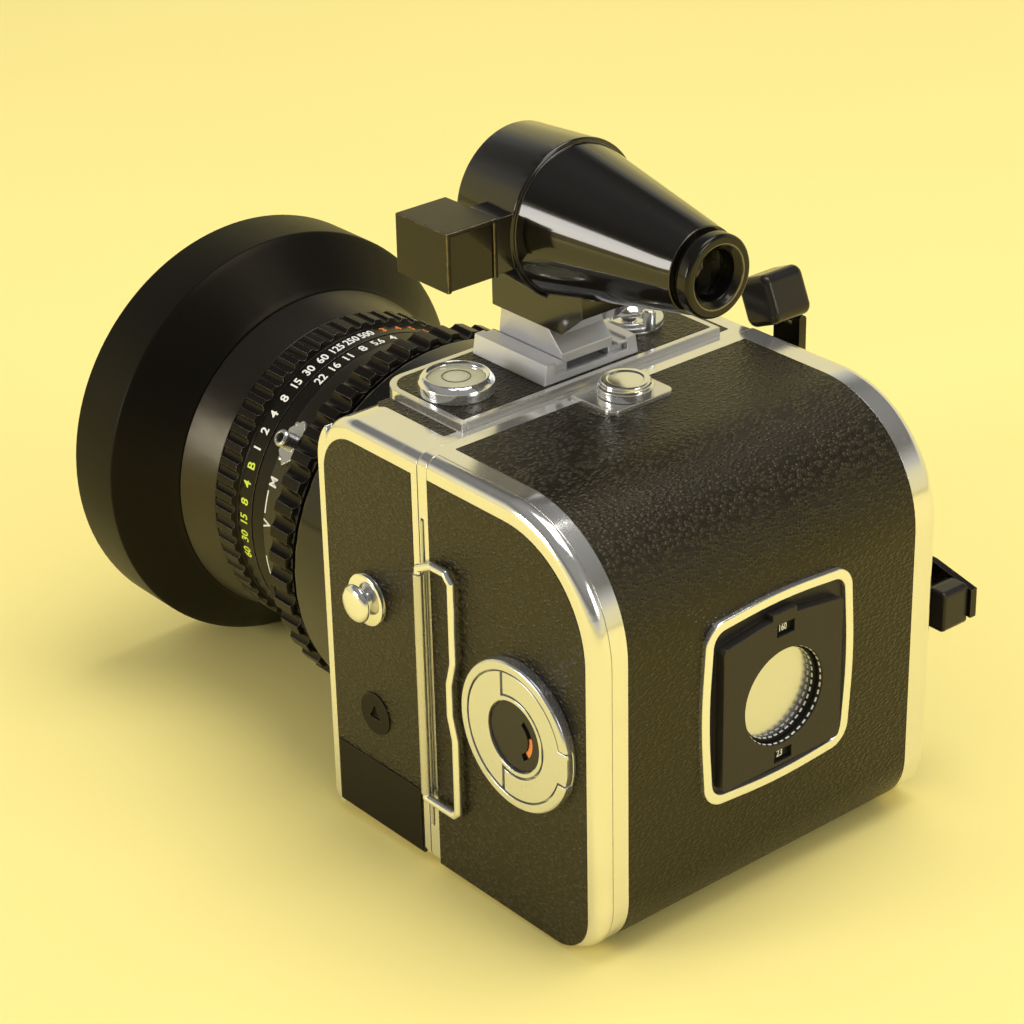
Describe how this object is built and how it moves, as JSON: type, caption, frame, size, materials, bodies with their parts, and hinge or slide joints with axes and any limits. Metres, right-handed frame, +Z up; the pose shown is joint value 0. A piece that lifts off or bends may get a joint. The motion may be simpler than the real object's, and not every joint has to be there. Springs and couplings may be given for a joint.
{
  "type": "medium format film camera",
  "caption": "Boxy leather covered roll film camera with a fixed wide angle lens and shade, lift-off optical finder, and a tilting film magazine with dark slide and pull-out film holder.",
  "frame": {"origin": "in the plane of the base, under the lens axis, in the joint between the body and its magazine", "axes": "+Z up, +Y along the lens axis towards the magazine (the lens points to -Y), +X towards the camera's own left side with the dark slide handle"},
  "size_m": [0.1099, 0.1741, 0.1427],
  "materials": {
    "casing_metal": "polished",
    "leather": "grained",
    "black_paint": "satin",
    "black_gloss": "gloss",
    "black_matte": "matte",
    "chrome": "bright",
    "satin_chrome": "satin",
    "steel": "brushed",
    "plastic": "gloss",
    "matte_plastic": "matte",
    "brass": "machined",
    "glass": "clear"
  },
  "bodies": {
    "camera_body": {"body_shell": "casing_metal", "body_side_leathers": "leather", "front_plate": "leather", "top_plate": "casing_metal", "top_leathers": "leather", "level_housing": "satin_chrome", "level_vial": "glass", "accessory_shoe": "satin_chrome", "base_foot": "steel", "strap_studs": "chrome", "side_plug": "black_paint", "name_plate": "black_paint", "magazine_hooks": "steel", "release_collar": "chrome", "lens_flange": "black_gloss", "helicoid_tube": "black_matte"},
    "release_button": {"shutter_release": "chrome"},
    "lock_lever": {"release_lock_lever": "satin_chrome"},
    "winding": {"winding_crank": "black_paint", "winding_gear": "brass"},
    "paddle": {"crank_paddle": "plastic"},
    "cocking": {"cocking_gear": "brass"},
    "focusing": {"focus_ring": "black_gloss"},
    "lens_unit": {"shutter_housing": "black_paint", "front_barrel": "black_paint", "lens_elements": "glass", "shutter_blades": "steel", "sync_socket": "chrome"},
    "speeds": {"speed_ring": "black_paint"},
    "apertures": {"aperture_ring": "black_paint"},
    "sync_selector": {"sync_lever": "black_paint"},
    "shade": {"lens_shade": "black_paint"},
    "finder": {"finder_housing": "black_gloss", "finder_foot": "satin_chrome", "finder_lenses": "glass", "eyepiece_ring": "black_paint", "mirror_box": "black_paint", "level_prism": "glass"},
    "magazine": {"magazine_shell": "casing_metal", "magazine_leathers": "leather", "film_gate": "steel", "pressure_plate": "black_matte", "catch_plate": "casing_metal", "window_frame": "chrome", "memo_plate": "matte_plastic"},
    "magazine_catch": {"magazine_release": "chrome"},
    "film_dial": {"memo_dial": "chrome"},
    "magazine_winding": {"magazine_crank": "black_paint", "magazine_gear": "brass"},
    "magazine_handle": {"magazine_crank_handle": "plastic"},
    "dark_slide": {"darkslide": "steel"},
    "bail": {"darkslide_bail": "steel"},
    "film_holder": {"holder_plate": "casing_metal", "holder_leather": "leather", "film_carrier": "black_matte"},
    "key": {"holder_key": "satin_chrome", "film_window_disc": "plastic"},
    "flap": {"key_flap": "satin_chrome"},
    "feed": {"feed_spool": "matte_plastic"},
    "takeup": {"takeup_spool": "matte_plastic"}
  },
  "joints": [
    {"name": "shutter_release_press", "type": "slide", "parent": "camera_body", "child": "release_button", "axis": [0, 0, -1], "range_m": [0, 0.002], "stiffness_N_per_m": 150},
    {"name": "release_lock_turn", "type": "hinge", "parent": "camera_body", "child": "lock_lever", "pos_m": [-0.024, -0.0165, 0.092], "axis": [0, 0, 1], "range_deg": [0, 60]},
    {"name": "winding_crank_turn", "type": "hinge", "parent": "camera_body", "child": "winding", "pos_m": [-0.045, -0.014, 0.066], "axis": [1, 0, 0], "continuous": true},
    {"name": "crank_paddle_fold", "type": "hinge", "parent": "winding", "child": "paddle", "pos_m": [-0.0594, -0.0056, 0.0866], "axis": [0, -1, 0], "range_deg": [0, 90]},
    {"name": "cocking_gear_turn", "type": "hinge", "parent": "camera_body", "child": "cocking", "pos_m": [-0.038, -0.014, 0.046], "axis": [1, 0, 0], "continuous": true},
    {"name": "focus_turn", "type": "hinge", "parent": "camera_body", "child": "focusing", "pos_m": [0, 0, 0.0432], "axis": [0, 1, 0], "range_deg": [-120, 0]},
    {"name": "focus_travel", "type": "slide", "parent": "camera_body", "child": "lens_unit", "axis": [0, -1, 0], "range_m": [0, 0.005]},
    {"name": "speed_ring_turn", "type": "hinge", "parent": "lens_unit", "child": "speeds", "pos_m": [0, 0, 0.0432], "axis": [0, 1, 0], "range_deg": [-70, 70]},
    {"name": "aperture_ring_turn", "type": "hinge", "parent": "lens_unit", "child": "apertures", "pos_m": [0, 0, 0.0432], "axis": [0, 1, 0], "range_deg": [-55, 55]},
    {"name": "sync_lever_turn", "type": "hinge", "parent": "lens_unit", "child": "sync_selector", "pos_m": [0, 0, 0.0432], "axis": [0, 1, 0], "range_deg": [-25, 0]},
    {"name": "shade_off", "type": "slide", "parent": "lens_unit", "child": "shade", "axis": [0, -1, 0], "range_m": [0, 0.025]},
    {"name": "finder_off", "type": "slide", "parent": "camera_body", "child": "finder", "axis": [0, -1, 0], "range_m": [0, 0.028]},
    {"name": "magazine_tilt", "type": "hinge", "parent": "camera_body", "child": "magazine", "pos_m": [0, 0.00015, 0], "axis": [-1, 0, 0], "range_deg": [0, 20]},
    {"name": "magazine_catch_slide", "type": "slide", "parent": "magazine", "child": "magazine_catch", "axis": [-1, 0, 0], "range_m": [0, 0.003], "stiffness_N_per_m": 200},
    {"name": "film_dial_turn", "type": "hinge", "parent": "magazine", "child": "film_dial", "pos_m": [0, 0.0512, 0.0441], "axis": [0, 1, 0], "range_deg": [-90, 90]},
    {"name": "magazine_crank_turn", "type": "hinge", "parent": "magazine", "child": "magazine_winding", "pos_m": [-0.045, 0.03, 0.0432], "axis": [1, 0, 0], "continuous": true},
    {"name": "magazine_grip_turn", "type": "hinge", "parent": "magazine_winding", "child": "magazine_handle", "pos_m": [-0.0534, 0.0455, 0.041], "axis": [1, 0, 0], "continuous": true},
    {"name": "dark_slide_pull", "type": "slide", "parent": "magazine", "child": "dark_slide", "axis": [1, 0, 0], "range_m": [0, 0.08]},
    {"name": "bail_swing", "type": "hinge", "parent": "dark_slide", "child": "bail", "pos_m": [0.046, 0.0011, 0.04], "axis": [0, 0, 1], "range_deg": [-180, 0]},
    {"name": "film_holder_pull", "type": "slide", "parent": "magazine", "child": "film_holder", "axis": [1, 0, 0], "range_m": [0, 0.078]},
    {"name": "holder_key_turn", "type": "hinge", "parent": "film_holder", "child": "key", "pos_m": [0.045, 0.0294, 0.0432], "axis": [1, 0, 0], "range_deg": [-90, 0]},
    {"name": "key_flap_fold", "type": "hinge", "parent": "key", "child": "flap", "pos_m": [0.047, 0.0266, 0.0432], "axis": [0, 0, 1], "range_deg": [-90, 0]},
    {"name": "feed_spool_turn", "type": "hinge", "parent": "film_holder", "child": "feed", "pos_m": [0, 0.03, 0.0192], "axis": [1, 0, 0], "continuous": true},
    {"name": "takeup_spool_turn", "type": "hinge", "parent": "film_holder", "child": "takeup", "pos_m": [0, 0.03, 0.0668], "axis": [1, 0, 0], "continuous": true}
  ],
  "couplings": [
    {"joint": "focus_travel", "follows": "focus_turn", "m_per_rad": -0.0023873},
    {"joint": "cocking_gear_turn", "follows": "winding_crank_turn", "ratio": -1},
    {"joint": "takeup_spool_turn", "follows": "magazine_crank_turn", "ratio": -1}
  ]
}
